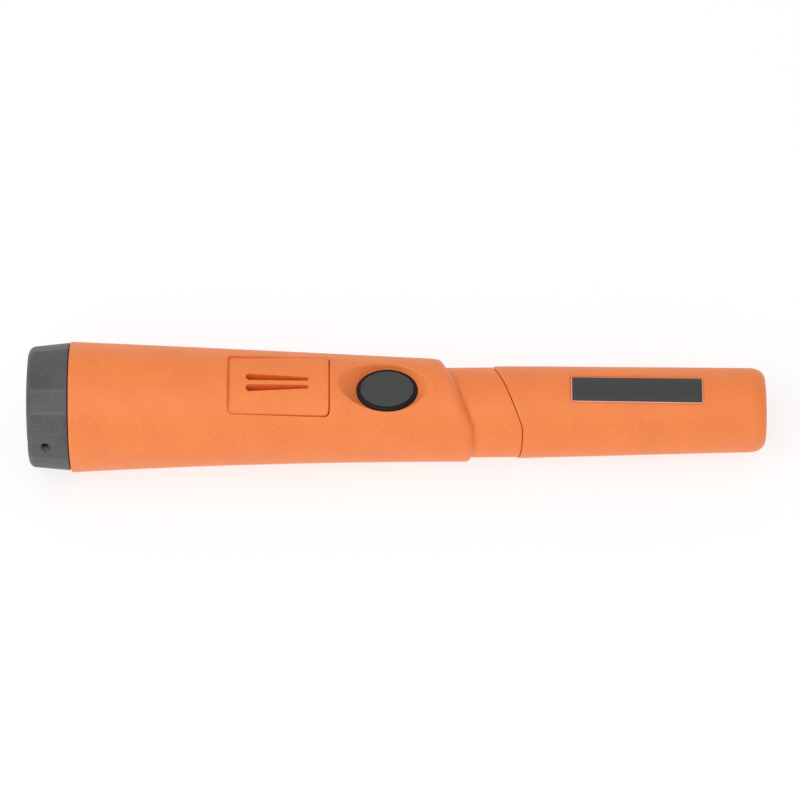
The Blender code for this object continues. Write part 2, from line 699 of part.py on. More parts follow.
def make_motor(frame):
    """Vibration motor in a cradle under the tray, with its half-round weight on the shaft."""
    cradle = block("motor_cradle", (0.0070, 0.0090, 0.0030), frame, (0.0975, 0, 0.01075),
                   BLACK_PLASTIC)
    combine(cradle, rod("cradle_seat", 0.0036, 0.02, frame, (0.0975, 0, MOTOR_HEIGHT)))
    motor = rod("vibration_motor", 0.0033, 0.012, frame, (0.098, 0, MOTOR_HEIGHT), STEEL)
    combine(motor, rod("motor_shaft", 0.0005, 0.0055, frame, (0.1063, 0, MOTOR_HEIGHT), sides=12),
            'UNION')
    axis = empty("motor_axis", frame, (0.1066, 0, MOTOR_HEIGHT))
    weight = rod("motor_weight", 0.0028, 0.0032, axis, (0, 0, 0), BRASS)
    spare = block("weight_gap", (0.006, 0.008, 0.004), axis, (0, 0, 0.0034))
    combine(weight, spare)
    combine(weight, rod("weight_bore", 0.0008, 0.006, axis, (0, 0, 0), sides=12))


def make_coils(frame):
    """Ferrite rod with its former and two windings, held between a support and a soft pad."""
    place = (0, 0, PROBE_HEIGHT)
    rod("ferrite_rod", 0.0040, 0.062, frame, (0.183, 0, PROBE_HEIGHT), FERRITE)
    bore, body, flange = 0.0043, 0.0054, 0.0086
    turned("coil_former", [(flange, 0.218), (flange, 0.2165), (body, 0.2165), (body, 0.1905),
                           (flange, 0.1905), (flange, 0.189), (body, 0.189), (body, 0.1675),
                           (flange, 0.1675), (flange, 0.166), (bore, 0.166), (bore, 0.218)],
           frame, place, WHITE_PLASTIC)
    for name, low, high in (("transmit_coil", 0.1678, 0.1887), ("receive_coil", 0.1908, 0.2162)):
        turned(name, [(0.0080, high), (0.0080, low), (0.0057, low), (0.0057, high)], frame, place,
               COPPER)
    support = rod("coil_end_support", 0.0106, 0.006, frame, (0.154, 0, PROBE_HEIGHT),
                  WHITE_PLASTIC, sides=36)
    combine(support, rod("rod_seat", 0.0043, 0.006, frame, (0.1545, 0, PROBE_HEIGHT)))
    for name, side in (("coil_lead_hole_near", -1), ("coil_lead_hole_far", 1)):
        combine(support, rod(name, 0.0009, 0.012, frame, (0.154, side * 0.0070, PROBE_HEIGHT),
                             sides=12))
    rod("tip_pad", 0.0088, 0.0040, frame, (0.2207, 0, PROBE_HEIGHT), FOAM)


def make_wires(frame):
    """Insulated leads between the board and what it drives."""
    top = BOARD_TOP + GAP + 0.0005
    for name, side, finish in (("battery_lead_positive", 0.005, RED_WIRE),
                               ("battery_lead_negative", -0.005, BLACK_WIRE)):
        wire(name, [(0.0723, side, 0.022), (0.0750, side, 0.022), (0.0766, side, 0.0211),
                    (0.0775, side * 0.9, 0.0195), (0.0777, side * 0.8, top)], 0.0005, frame, finish)
    for name, side, finish in (("speaker_lead_positive", 0.002, RED_WIRE),
                               ("speaker_lead_negative", -0.002, BLACK_WIRE)):
        wire(name, [(0.0835, side, 0.0214), (0.0831, side, 0.0204), (0.0820, side, 0.0195),
                    (0.0812, side, top)], 0.0004, frame, finish)
    for name, side, finish in (("motor_lead_positive", 0.0011, RED_WIRE),
                               ("motor_lead_negative", -0.0011, BLACK_WIRE)):
        edge = math.copysign(0.0102, side)
        wire(name, [(0.0916, side, MOTOR_HEIGHT), (0.0904, side * 2, 0.0078),
                    (0.0899, edge * 0.6, 0.0092), (0.0899, edge * 0.93, 0.0120),
                    (0.0899, edge, 0.0150), (0.0899, edge, 0.0178),
                    (0.0899, edge * 0.9, 0.0187), (0.0899, edge * 0.8, top)],
             0.0004, frame, finish)
    for name, side, finish in (("transmit_coil_lead", -0.0070, YELLOW_WIRE),
                               ("receive_coil_lead", 0.0070, BLUE_WIRE)):
        outward = math.copysign(0.0022, side)
        wire(name, [(0.1395, side * 0.6, top), (0.1420, side * 0.45, top + 0.0010),
                    (0.1465, side * 0.6, 0.0182), (0.1490, side, 0.0150),
                    (0.1510, side, PROBE_HEIGHT), (0.1600, side, PROBE_HEIGHT),
                    (0.1640, side + outward, PROBE_HEIGHT)], 0.0004, frame, finish)


# ---------------------------------------------------------------- assembly

for leftover in list(bpy.data.objects):
    bpy.data.objects.remove(leftover, do_unlink=True)
parts = new_collection(NAME)
cutters = new_collection(NAME + "_cutters")

cap_end = empty("cap_end", None, (-LENGTH / 2, 0, 0))
cap_axis = empty("cap_axis", cap_end, (0, 0, handle_height(HANDLE_START)))
make_main_housing(cap_end)
make_speaker_panel(cap_end)
make_speaker(cap_end)
make_button(cap_end)
make_button_ring(cap_end)
make_led(cap_end)
cover_axis = make_wear_cover(cap_end)
make_label(cover_axis)
make_battery_cap(cap_axis)
make_cap_seal(cap_axis)
rod("battery_foam_pad", 0.0130, 0.0103, cap_axis, (0.01475, 0, 0), FOAM, sides=28)
make_battery(cap_end)
make_chassis(cap_end)
make_components(cap_end)
make_motor(cap_end)
make_coils(cap_end)
make_wires(cap_end)
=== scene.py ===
import json
import math

import bmesh
import bpy
import numpy as np
from mathutils import Matrix, Vector


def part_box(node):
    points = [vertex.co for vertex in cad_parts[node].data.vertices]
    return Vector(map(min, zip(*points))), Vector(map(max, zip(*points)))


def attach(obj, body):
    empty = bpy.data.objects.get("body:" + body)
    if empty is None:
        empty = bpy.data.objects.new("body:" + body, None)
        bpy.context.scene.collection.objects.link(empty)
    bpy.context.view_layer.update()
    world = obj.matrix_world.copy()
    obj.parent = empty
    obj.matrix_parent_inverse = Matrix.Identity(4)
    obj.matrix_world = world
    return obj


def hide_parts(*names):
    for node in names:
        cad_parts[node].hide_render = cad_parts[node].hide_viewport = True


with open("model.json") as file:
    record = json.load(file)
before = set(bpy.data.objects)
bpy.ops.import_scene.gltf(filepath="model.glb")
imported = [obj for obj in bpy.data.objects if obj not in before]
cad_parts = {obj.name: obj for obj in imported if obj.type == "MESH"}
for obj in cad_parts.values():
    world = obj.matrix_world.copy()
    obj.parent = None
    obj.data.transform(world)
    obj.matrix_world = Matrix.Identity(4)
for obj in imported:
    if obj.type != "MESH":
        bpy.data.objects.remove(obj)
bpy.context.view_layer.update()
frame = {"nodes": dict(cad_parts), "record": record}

CAP_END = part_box("battery_cap")[0].x
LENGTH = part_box("wear_cover")[1].x - CAP_END

# Section and cut lines, as in the frame
PROBE_HEIGHT = 0.0144
CREASE = 55.0
CROWN = 0.025
INNER_CROWN = 0.26
HANDLE_START = 0.0130
HANDLE_END = 0.128
REAR_RADIUS = 0.0203
FRONT_RADIUS = 0.0160
WAIST = 0.00034
ARCH = 0.0012
WALL = 0.0024
BORE_RADIUS = 0.0180
STEP_STATION = 0.1336
COVER_STATION = 0.1486
SLANT = 0.00435
LEAN_BEND = (42.0, 55.2)
NECK_RADIUS = 0.0140
NECK_BORE = 0.0116
TUBE_RADIUS = (0.0127, 0.0115)
TUBE_END = 0.2266
TUBE_WALL = 0.0015
TUBE_ROUNDING = 0.0015
COVER_RADIUS = (0.0143, 0.01315)
COVER_TAPER = (0.153, 0.2225)
COVER_GAP = 0.00026
COVER_WALL = 0.0013
COVER_FRONT = 0.2240
COVER_NOSE = (0.0046, 0.0034)
FACET = math.cos(math.radians(5))
LEAST_HEIGHT = 0.00002

# Holes let into the rows: stations of the panel's and the button's, half widths in degrees
HOLE_MARKS = (0.0610, 0.0948, 0.1282)
HANDLE_HOLE_SIDE = 41.0
LABEL_HOLE_SIDE = 25.0
LEAN_START = 0.112

# Thread between the cap and the handle: a right-hand screw
PITCH = 0.003
THREAD = (0.0154, 0.0190)
THREAD_HEIGHT = 0.0005
THREAD_FADE = 0.0004

# Panel, button and label
PANEL_CENTRE = 0.0776
PANEL_SIZE = (0.0317, 0.0208)
PANEL_CORNER = 0.0019
PANEL_ARC = 0.0223
PANEL_RISE = 0.01623
PANEL_SEAT = 0.0123
PANEL_TILT = math.radians(2.4)
PANEL_GROOVE = 0.00035
SLOT_ENDS = (0.0675, 0.0869)
SLOT_RADIUS = (0.00115, 0.00062)
SLOT_GAP = 0.0015
BUTTON_STATION = 0.1110
BUTTON_BASE = (0.0094, 0.0073)
BUTTON_FACE = (0.0081, 0.0061)
BUTTON_FLOOR = 0.0290
BUTTON_TOP = 0.0300
DISH_FLOOR = (0.0098, 0.0077)
DISH_SPREAD = (1.0, 0.38)
DISH_REACH = (0.0150, 0.0093)
DISH_RIM = 0.0005
DISH_FOOT = 0.0003
RELIEF = 0.0001
RING_REACH = 0.0050
ARC_REACH = 0.0024
ARC_GAP = 32.0
LABEL_CENTRE = (0.1884, 0.0006)
LABEL_SIZE = (0.0402, 0.0085)
LABEL_TURN = math.radians(-0.9)
LABEL_MARGIN = 0.0007
LABEL_DEPTH = 0.00042

# Cap
SCALLOPS = 5
SCALLOP_DEPTH = 0.0012
LAND_HALF_WIDTH = 12.0
FIRST_LAND = 24.3
CAP_RADIUS = (0.01895, 0.01995)
CAP_CORNER = 0.0024
SPIGOT_RADIUS = 0.0172
SPIGOT_END = 0.0196
LANYARD_ANGLE = 71.5
LANYARD_RADIUS = 0.00095
LANYARD_STATION = 0.0056
LANYARD_REACH = 0.0162

# Light
FLOOR_GREY = 0.3
FLOOR_GLOW = 0.72
ROOM_LIGHT = 0.66


# ---------------------------------------------------------------- shapes of the sections

def crowned(radius, angles, crown):
    """Radii of a section whose top is drawn in between its two creases."""
    turn = np.abs((angles + 180) % 360 - 180)
    drawn = radius * (1 - crown * np.cos(np.pi / 2 * np.minimum(turn, CREASE) / CREASE))
    return np.where(turn >= CREASE, radius, drawn)


def slant_shape(angles):
    """Forward lean of the cut lines round the probe, from -1 to 1."""
    turn = (angles + 180) % 360 - 180
    size = np.abs(turn)
    start, end = LEAN_BEND
    bend = np.sign(turn) * (1 - (end - size) ** 2 / (end ** 2 - start ** 2))
    wave = np.cos(np.pi * (angles % 360 - end) / (360 - 2 * end))
    steep = 2 * turn / (start + end)
    return np.where(size <= start, steep, np.where(size <= end, bend, wave))


def handle_share(stations):
    return np.minimum((stations - HANDLE_START) / (HANDLE_END - HANDLE_START), 1.0)


def handle_radius(stations):
    share = handle_share(stations)
    return REAR_RADIUS + (FRONT_RADIUS - REAR_RADIUS) * share - 4 * WAIST * share * (1 - share)


def handle_height(stations):
    share = handle_share(stations)
    return handle_radius(stations) * FACET + 4 * ARCH * share * (1 - share)


def around(stations, radii, heights, angles):
    """Points of one section, as rows of (x, y, z)."""
    turn = np.radians(angles)
    ones = np.ones_like(angles)
    return np.stack([CAP_END + stations * ones, -radii * np.sin(turn),
                     np.maximum(heights * ones + radii * np.cos(turn), LEAST_HEIGHT)], axis=1)


def handle_points(stations, angles, inset=0.0, crown=CROWN):
    radii = crowned(handle_radius(stations) - inset, angles, crown)
    return around(stations, radii, handle_height(stations), angles)


def probe_points(stations, radius, angles, crown=CROWN, slant=0.0):
    lean = stations + slant * slant_shape(angles)
    return around(lean, crowned(radius, angles, crown), PROBE_HEIGHT, angles)


def between(ends, share):
    return ends[0] + (ends[1] - ends[0]) * share


def tube_radius(station):
    return between(TUBE_RADIUS, (station - COVER_STATION) / (TUBE_END - COVER_STATION))


def cover_radius(station):
    start, end = COVER_TAPER
    return between(COVER_RADIUS, (station - start) / (end - start))


def surface_height(plan, radius_of, height_of):
    """Height of a crowned surface over plan points, given in (station, y)."""
    radius = radius_of(plan[:, 0])
    angles = np.degrees(np.arcsin(np.clip(-plan[:, 1] / radius, -1, 1)))
    for _ in range(6):
        reach = crowned(radius, angles, CROWN)
        angles = np.degrees(np.arcsin(np.clip(-plan[:, 1] / reach, -1, 1)))
    return height_of(plan[:, 0]) + crowned(radius, angles, CROWN) * np.cos(np.radians(angles))


def handle_surface(plan):
    return surface_height(plan, handle_radius, handle_height)


def cover_surface(plan):
    return surface_height(plan, cover_radius, lambda stations: PROBE_HEIGHT)


def spaced(*stops):
    """Values through (value, step) stops: each step holds up to the next stop's value."""
    values = []
    for (low, step), (high, _) in zip(stops, stops[1:]):
        count = max(1, round((high - low) / step))
        values += [low + (high - low) * index / count for index in range(count)]
    return values + [stops[-1][0]]


def bent(start, corner, end, share):
    """A point of the curve that leaves its start and meets its end toward one corner."""
    return start * (1 - share) ** 2 + 2 * corner * share * (1 - share) + end * share ** 2


def quarter(count):
    """(sine, cosine) pairs of a quarter turn, for roundings."""
    turns = [math.pi / 2 * index / count for index in range(count + 1)]
    return [(math.sin(turn), math.cos(turn)) for turn in turns]


# ---------------------------------------------------------------- mesh building

class Shell:
    """A closed mesh made of rows round an axis, with patches let into holes in the rows."""

    def __init__(self, columns):
        self.columns = columns
        self.points = []
        self.faces = []
        self.rows = []

    def add_points(self, points):
        start = len(self.points)
        self.points += [tuple(point) for point in points]
        return list(range(start, len(self.points)))

    def add_row(self, points):
        self.rows.append(self.add_points(points))

    def bridge(self, near, far):
        count = len(near)
        for index in range(count):
            following = (index + 1) % count
            self.faces.append((near[index], near[following], far[following], far[index]))

    def close(self, loop):
        centre = self.add_points([np.mean([self.points[index] for index in loop], axis=0)])[0]
        for index, corner in enumerate(loop):
            self.faces.append((corner, loop[(index + 1) % len(loop)], centre))

    def skin(self, holes=()):
        """Join the rows, leaving out the cells of each hole (row, row, column, column)."""
        for row, (near, far) in enumerate(zip(self.rows, self.rows[1:])):
            for column in range(self.columns):
                if any(low <= row < high and left <= column < right
                       for low, high, left, right in holes):
                    continue
                following = (column + 1) % self.columns
                self.faces.append((near[column], near[following], far[following], far[column]))

    def rim(self, hole):
        """The corners round a hole, in order."""
        low, high, left, right = hole
        loop = [self.rows[low][column] for column in range(left, right)]
        loop += [self.rows[row][right] for row in range(low, high)]
        loop += [self.rows[high][column] for column in range(right, left, -1)]
        loop += [self.rows[row][left] for row in range(high, low, -1)]
        return loop

    def rim_plan(self, loop):
        points = np.array([self.points[index] for index in loop])
        return np.stack([points[:, 0] - CAP_END, points[:, 1]], axis=1)

    def fill(self, loop, rings):
        """Let a run of rings into a hole and close the last one."""
        previous = loop
        for ring in rings:
            current = self.add_points(ring)
            self.bridge(previous, current)
            previous = current
        self.close(previous)

    def seal(self, holes=()):
        self.skin(holes)
        self.close(self.rows[0])
        self.close(self.rows[-1])

    def build(self, name, sharp=50):
        return make_piece(name, self.points, self.faces, sharp)


def make_piece(name, points, faces, sharp):
    """A smooth-shaded mesh object with its faces pointing out."""
    mesh = bpy.data.meshes.new(name)
    mesh.from_pydata([tuple(point) for point in points], [], faces)
    shape = bmesh.new()
    shape.from_mesh(mesh)
    bmesh.ops.remove_doubles(shape, verts=shape.verts, dist=1e-7)
    bmesh.ops.recalc_face_normals(shape, faces=shape.faces)
    shape.to_mesh(mesh)
    shape.free()
    mesh.shade_smooth()
    mesh.set_sharp_from_angle(angle=math.radians(sharp))
    piece = bpy.data.objects.new(name, mesh)
    bpy.context.scene.collection.objects.link(piece)
    return piece


def cut(piece, cutter, sharp):
    """Cut one mesh out of another and drop the cutter."""
    change = piece.modifiers.new("cut", 'BOOLEAN')
    change.operation = 'DIFFERENCE'
    change.solver = 'EXACT'
    change.object = cutter
    bpy.context.view_layer.update()
    result = piece.evaluated_get(bpy.context.evaluated_depsgraph_get())
    mesh = bpy.data.meshes.new_from_object(result)
    piece.modifiers.clear()
    piece.data = mesh
    mesh.shade_smooth()
    mesh.set_sharp_from_angle(angle=math.radians(sharp))
    bpy.data.objects.remove(cutter)


class RoundedBox:
    """Outlines at any distance from a rounded rectangle, matched point by point to a rim."""

    def __init__(self, centre, size, corner, rim, turn=0.0):
        self.centre = np.array(centre)
        self.axes = np.array([[math.cos(turn), math.sin(turn)], [-math.sin(turn), math.cos(turn)]])
        self.corner = corner
        half = np.array(size) / 2 - corner
        local = (rim - self.centre) @ self.axes.T
        self.core = np.clip(local, -half, half)
        away = local - self.core
        self.direction = away / np.maximum(np.linalg.norm(away, axis=1, keepdims=True), 1e-9)

    def outline(self, offset, narrowing=1.0):
        local = self.core + (self.corner + offset) * self.direction
        return self.centre + (local * np.array([1.0, narrowing])) @ self.axes


def raised(plan, heights):
    return np.stack([CAP_END + plan[:, 0], plan[:, 1], heights * np.ones(len(plan))], axis=1)


def rounded_grid(size, corner, across, along):
    """Plan points of a grid whose four corners are pressed round, as [row][column]."""
    half = np.array(size) / 2
    rows = []
    for x in along:
        row = []
        for y in across:
            point = np.array([x, y])
            away = np.abs(point) - (half - corner)
            if away.min() > 0:
                reach = away * away.max() / np.linalg.norm(away)
                point = np.sign(point) * (half - corner + reach)
            row.append(point)
        rows.append(row)
    return np.array(rows)


def edge_spaced(half, step):
    """Symmetric values from -half to half, crowded near both ends."""
    crowd = [0.0, 0.00004, 0.00010, 0.00017, 0.00026, 0.0004, 0.0006, 0.0009, 0.0013, 0.0018]
    inner = half - crowd[-1]
    count = round(2 * inner / step)
    middle = [-inner + 2 * inner * index / count for index in range(1, count)]
    low = [-half + value for value in crowd]
    return low + middle + [-value for value in reversed(low)]


def pad(name, size, corner, top, bottom, edge, sharp=50):
    """A thin rounded plate whose two faces follow height functions of plan points."""
    step = 0.0006
    grid = rounded_grid(size, corner, edge_spaced(size[1] / 2, step),
                        edge_spaced(size[0] / 2, step))
    rows, columns = grid.shape[:2]
    flat = grid.reshape(-1, 2)
    half = np.array(size) / 2
    away = np.abs(flat) - (half - corner)
    outside = np.linalg.norm(np.maximum(away, 0), axis=1)
    inside = np.minimum(away.max(axis=1), 0)
    depth = np.clip(edge - (corner - outside - inside), 0, edge)
    drop = edge - np.sqrt(edge ** 2 - depth ** 2)
    tops = np.column_stack([flat, top(flat) - drop])
    bottoms = np.column_stack([flat, bottom(flat)])
    faces = []
    count = len(flat)
    for row in range(rows - 1):
        for column in range(columns - 1):
            first = row * columns + column
            cell = (first, first + 1, first + columns + 1, first + columns)
            faces.append(cell)
            faces.append(tuple(index + count for index in cell))
    loop = list(range(columns - 1))
    loop += [row * columns + columns - 1 for row in range(rows - 1)]
    loop += [(rows - 1) * columns + column for column in range(columns - 1, 0, -1)]
    loop += [row * columns for row in range(rows - 1, 0, -1)]
    for index, corner_point in enumerate(loop):
        following = loop[(index + 1) % len(loop)]
        faces.append((corner_point, following, following + count, corner_point + count))
    return make_piece(name, np.vstack([tops, bottoms]), faces, sharp)


# ---------------------------------------------------------------- handle, neck and probe tube

def shell_angles(dense_low, dense_high, fine):
    """Angles from -180 to 180, crowded either side of the top between two angles."""
    coarse = 2.5
    side = spaced((0.0, coarse), (dense_low, fine), (dense_high, coarse), (180.0, 1.0))
    return np.array([-angle for angle in reversed(side[1:])] + side[:-1])


def column_at(angles, value):
    return int(np.argmin(np.abs(angles - value)))


def step_rows(angles):
    """Rows down the slanted step: a rounded shoulder and a face that meets the neck crisply."""
    lean = STEP_STATION + SLANT * slant_shape(angles)
    handle = handle_points(lean, angles)
    neck = probe_points(STEP_STATION, NECK_RADIUS, angles, slant=SLANT)
    turn = np.radians(angles)
    rise = np.einsum('ij,ij->i', handle - neck,
                     np.stack([0 * turn, -np.sin(turn), np.cos(turn)], axis=1))
    run = (-1.15, -0.6, -0.3, 0.0)
    fall = (1.0, 1.0, 0.65, 0.0)
    rows = []
    count = 14
    for index in range(count + 1):
        share = index / count
        weights = ((1 - share) ** 3, 3 * share * (1 - share) ** 2, 3 * share ** 2 * (1 - share),
                   share ** 3)
        forward = sum(weight * value for weight, value in zip(weights, run))
        blend = sum(weight * value for weight, value in zip(weights, fall))
        points = neck + (handle - neck) * blend
        points[:, 0] = CAP_END + lean + rise * forward
        rows.append(points)
    return rows


def thread_height(stations, angles, low, high):
    """Rise of a round-crested thread over a station, fading out at its two ends."""
    phase = (stations - PITCH * angles / 360) / PITCH
    wave = np.clip(0.5 + 0.95 * np.cos(2 * np.pi * phase), 0, 1)
    fade = (np.clip((stations - low) / THREAD_FADE, 0, 1) *
            np.clip((high - stations) / THREAD_FADE, 0, 1))
    return THREAD_HEIGHT * wave * fade


def inner_rows(angles):
    """The inside, from the tip back to the mouth that takes the cap."""
    rows = [probe_points(TUBE_END - 0.0016, 0.0095, angles)]
    for station in (TUBE_END - 0.004, 0.190, 0.158):
        rows.append(probe_points(station, tube_radius(station) - TUBE_WALL, angles))
    rows.append(probe_points(0.137, NECK_BORE, angles, 0.05))
    rows.append(around(0.126, crowned(0.0135, angles, INNER_CROWN), handle_height(0.126), angles))
    for station in (0.112, 0.096, 0.080, 0.063):
        rows.append(handle_points(station, angles, WALL, INNER_CROWN))
    rows.append(handle_points(0.052, angles, WALL))
    rows.append(handle_points(0.036, angles, WALL, 0.0))
    mouth = handle_height(HANDLE_START)
    for station in reversed(spaced((HANDLE_START + 0.0006, 0.00025), (0.0205, 1.0))):
        ridge = thread_height(station, angles + 180, THREAD[0] - 0.001, THREAD[1] + 0.0012)
        rows.append(around(station, BORE_RADIUS - ridge, mouth, angles))
    rows.append(around(HANDLE_START, BORE_RADIUS + 0.0006, mouth, angles))
    return rows


def outer_rows(angles):
    """Rows of the outside, with the numbers of the rows at the hole marks."""
    rows = []
    mouth = handle_height(HANDLE_START)
    edge = 0.0003
    for sine, cosine in quarter(3):
        station = HANDLE_START + edge * (1 - cosine)
        radii = crowned(REAR_RADIUS - edge * (1 - sine), angles, CROWN)
        rows.append(around(station, radii, mouth, angles))
    marks = []
    first, shared, last = HOLE_MARKS
    stops = spaced((0.0136, 0.0012), (first, 0.00036), (0.0646, 0.0011), (0.0912, 0.00036),
                   (shared, 0.0008), (last, 1.0))
    for station in stops:
        share = min(max((station - LEAN_START) / (last - LEAN_START), 0.0), 1.0)
        lean = SLANT * share * share * (3 - 2 * share)
        if min(abs(station - mark) for mark in HOLE_MARKS) < 1e-6:
            marks.append(len(rows))
        rows.append(handle_points(station + lean * slant_shape(angles), angles))
    step = step_rows(angles)
    start = rows[-1]
    for share in (0.33, 0.67):
        stations = start[:, 0] + (step[0][:, 0] - start[:, 0]) * share - CAP_END
        rows.append(handle_points(stations, angles))
    rows += step
    for station in (0.1338, 0.1350, 0.1380, 0.1410, 0.1445, COVER_STATION - 0.0006):
        rows.append(probe_points(station, NECK_RADIUS, angles, slant=SLANT))
    edge = 0.00012
    shoulder = COVER_STATION - COVER_GAP
    for sine, cosine in quarter(3):
        rows.append(probe_points(shoulder - edge * (1 - sine),
                                 NECK_RADIUS - edge * (1 - cosine), angles, slant=SLANT))
    rows.append(probe_points(shoulder, TUBE_RADIUS[0], angles, slant=SLANT))
    for station in spaced((0.158, 0.004), (COVER_FRONT, 1.0)):
        rows.append(probe_points(station, tube_radius(station), angles))
    for sine, cosine in quarter(4):
        station = TUBE_END - TUBE_ROUNDING * (1 - sine)
        radius = tube_radius(station) - TUBE_ROUNDING * (1 - cosine)
        rows.append(probe_points(station, radius, angles))
    return rows, marks


def panel_rings(rim):
    """Recess for the speaker panel: a rounded lip, a ledge in the groove, walls and a floor."""
    box = RoundedBox((PANEL_CENTRE, 0.0), PANEL_SIZE, PANEL_CORNER, rim)
    rings = []
    lip = 0.0002
    for offset in (0.0007, 0.0004):
        plan = box.outline(offset)
        rings.append(raised(plan, handle_surface(plan)))
    for sine, cosine in quarter(4):
        plan = box.outline(lip * (1 - sine))
        rings.append(raised(plan, handle_surface(plan) - lip * (1 - cosine)))
    ledge = PANEL_GROOVE - 0.00006
    forward, across = box.direction[:, 0], box.direction[:, 1]
    deep = 0.0005 - 0.0002 * across + 0.0003 * np.abs(forward) + 0.0004 * forward
    for offset, depth in ((0.0, 0.0), (-0.00008, 0.00010), (-ledge, 0.00015), (-ledge, 0.0008)):
        plan = box.outline(offset)
        rings.append(raised(plan, handle_surface(plan) - deep - depth))
    floor = handle_height(PANEL_CENTRE) + PANEL_SEAT - 0.0005
    for offset in (-0.0005, -0.0018):
        plan = box.outline(offset)
        slope = (PANEL_CENTRE - plan[:, 0]) * math.tan(PANEL_TILT)
        rings.append(raised(plan, floor + slope))
    return rings


def dish_rings(rim):
    """Scooped dish round the button, with a soft rim, a level floor and the button's well."""
    centre = np.array([BUTTON_STATION, 0.0])
    local = rim - centre
    turn = np.arctan2(local[:, 1] / DISH_REACH[1], local[:, 0] / DISH_REACH[0])
    way = np.stack([np.cos(turn), np.sin(turn)], axis=1)

    def cone(heights):
        return centre + way * (np.array(DISH_FLOOR) + np.outer(heights, DISH_SPREAD))

    low = np.zeros(len(rim))
    high = np.full(len(rim), 0.009)
    for _ in range(40):
        middle = (low + high) / 2
        under = BUTTON_FLOOR + middle < handle_surface(cone(middle))
        low = np.where(under, middle, low)
        high = np.where(under, high, middle)
    edge = cone(low)
    outward = rim - edge
    gap = np.linalg.norm(outward, axis=1, keepdims=True)
    soft = np.minimum(DISH_RIM, 0.75 * gap)
    outer = edge + outward / gap * soft
    rings = []
    for share in (0.75, 0.5, 0.25):
        plan = outer + (rim - outer) * share
        rings.append(raised(plan, handle_surface(plan)))
    start = raised(outer, handle_surface(outer))
    corner = raised(edge, BUTTON_FLOOR + low)
    down = np.maximum(low - DISH_RIM, low * 0.6)
    end = raised(cone(down), BUTTON_FLOOR + down)
    for share in (0.0, 0.2, 0.4, 0.6, 0.8, 1.0):
        rings.append(bent(start, corner, end, share))
    foot = np.minimum(DISH_FOOT, down * 0.5)
    for share in (0.66, 0.33):
        level = foot + (down - foot) * share
        rings.append(raised(cone(level), BUTTON_FLOOR + level))
    start = raised(cone(foot), BUTTON_FLOOR + foot)
    corner = raised(cone(foot * 0), BUTTON_FLOOR)
    floor_in = centre + way * (np.array(DISH_FLOOR) - 0.00005)
    end = raised(floor_in, BUTTON_FLOOR)
    for share in (0.0, 0.25, 0.5, 0.75, 1.0):
        rings.append(bent(start, corner, end, share))
    well = np.array(BUTTON_BASE) + 0.00022
    lip = 0.00012
    for sine, cosine in quarter(3):
        rings.append(raised(centre + way * (well + lip * (1 - sine)),
                            BUTTON_FLOOR - lip * (1 - cosine)))
    for level in (0.0275, 0.0262):
        rings.append(raised(centre + way * well, level))
    return rings


def make_housing():
    angles = shell_angles(31.0, HANDLE_HOLE_SIDE, 1.0)
    shell = Shell(len(angles))
    for points in inner_rows(angles):
        shell.add_row(points)
    inside = len(shell.rows)
    rows, marks = outer_rows(angles)
    for points in rows:
        shell.add_row(points)
    left = column_at(angles, -HANDLE_HOLE_SIDE)
    right = column_at(angles, HANDLE_HOLE_SIDE)
    first, shared, last = (mark + inside for mark in marks)
    panel_hole = (first, shared, left, right)
    button_hole = (shared, last, left, right)
    shell.seal((panel_hole, button_hole))
    for hole, rings_of in ((panel_hole, panel_rings), (button_hole, dish_rings)):
        loop = shell.rim(hole)
        shell.fill(loop, rings_of(shell.rim_plan(loop)))
    return shell.build("housing_shell", sharp=60)


# ---------------------------------------------------------------- wear cover and label

